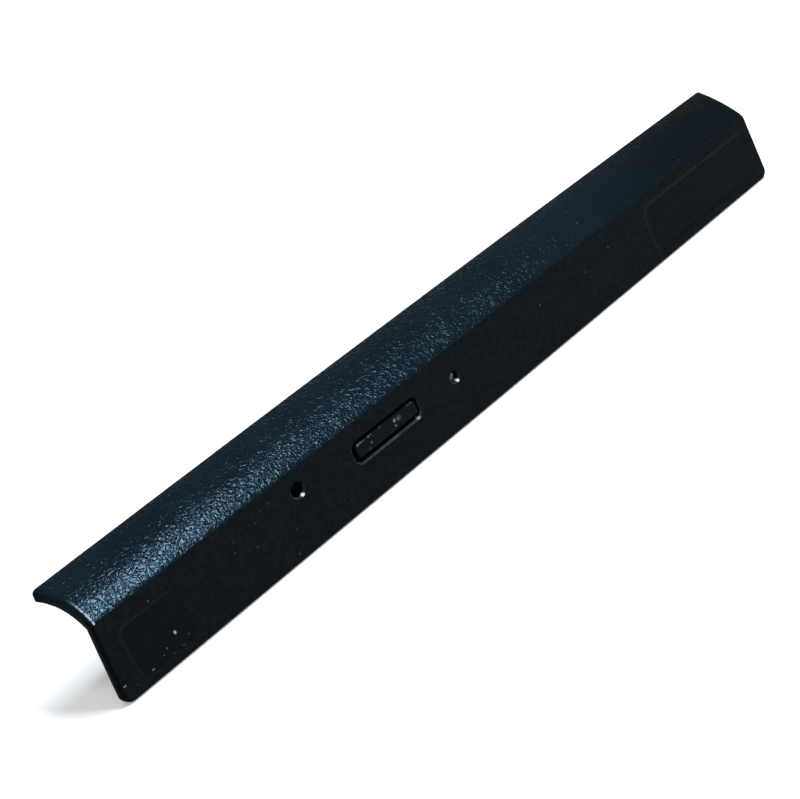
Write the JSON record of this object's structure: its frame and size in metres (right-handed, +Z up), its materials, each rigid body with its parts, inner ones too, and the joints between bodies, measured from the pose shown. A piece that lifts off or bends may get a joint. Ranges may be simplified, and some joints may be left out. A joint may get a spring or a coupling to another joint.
{
  "type": "optical drive tray bezel",
  "caption": "Long black plastic front bezel for a slim optical drive tray: upright face, curved wing above it, eject button in a slot, emergency release hole and lamp lens.",
  "frame": {"origin": "middle of the rear face of the front wall, half way along the bezel and half way up its face, where the snap hooks leave the wall", "axes": "+X along the bezel, so the button is on the -X side; +Y back towards the drive, so the face looks along -Y; +Z up from the face to the wing"},
  "size_m": [0.131, 0.0085, 0.0151],
  "materials": {
    "bezel": "black moulded plastic, smooth face, fine leather grain on the wing",
    "button": "black moulded plastic, scuffed",
    "light_pipe": "smoky clear moulded plastic"
  },
  "bodies": {
    "bezel": {"bezel": "bezel", "led_light_pipe": "light_pipe"},
    "button": {"eject_button": "button"}
  },
  "joints": [
    {"name": "button_press", "type": "hinge", "parent": "bezel", "child": "button", "pos_m": [0.00928, 0.00005, -0.00194], "axis": [0, 0, -1], "range_deg": [0, 1.05], "stiffness_Nm_per_rad": 0.3, "springref_deg": -0.57}
  ]
}
